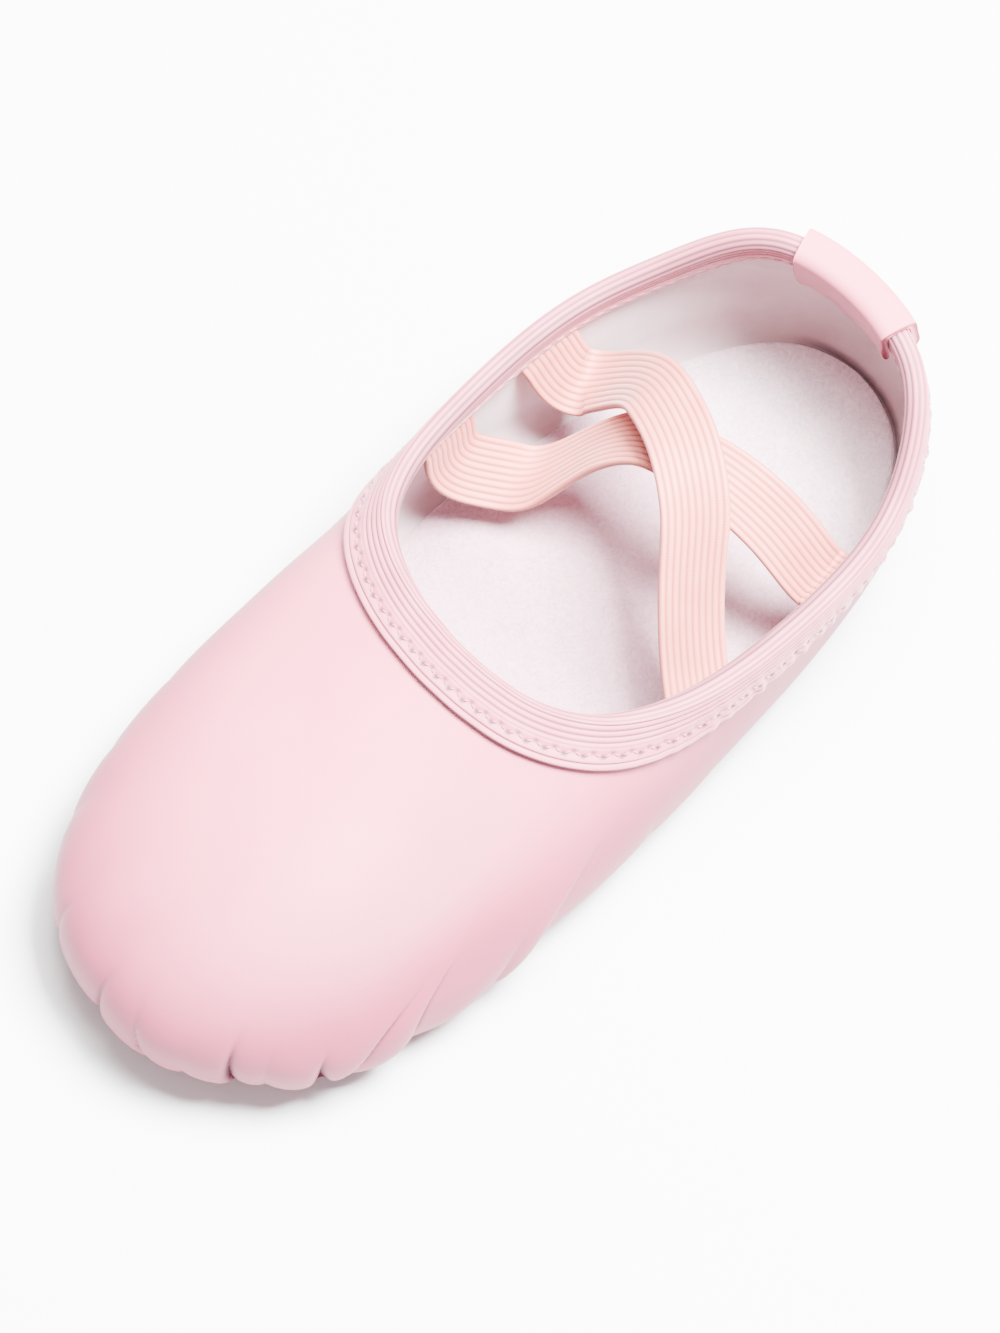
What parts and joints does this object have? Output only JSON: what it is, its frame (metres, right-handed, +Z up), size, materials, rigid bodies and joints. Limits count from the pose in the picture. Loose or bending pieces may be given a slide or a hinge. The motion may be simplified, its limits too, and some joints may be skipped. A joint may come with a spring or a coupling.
{
  "type": "ballet shoe",
  "caption": "Child's soft slip-on ballet shoe for the left foot: gathered leather upper, elastic collar binding, heel tab, crossed elastic straps and a split suede sole.",
  "frame": {"origin": "on the floor, under the middle of the shoe's bounding box", "axes": "+X towards the toe, +Y towards the wearer's left, the outer side of this left shoe, +Z up"},
  "size_m": [0.1702, 0.0736, 0.0466],
  "materials": {
    "coated_leather": "soft satin",
    "suede": "napped",
    "brushed_cotton": "brushed",
    "elastic_tape": "ribbed",
    "strap_elastic": "ribbed"
  },
  "bodies": {
    "root": {"upper": "coated_leather", "sole_front": "suede", "sole_heel": "suede", "insole": "brushed_cotton", "collar_binding": "elastic_tape", "heel_tab": "coated_leather", "strap_top": "strap_elastic", "strap_under": "strap_elastic"}
  },
  "joints": []
}
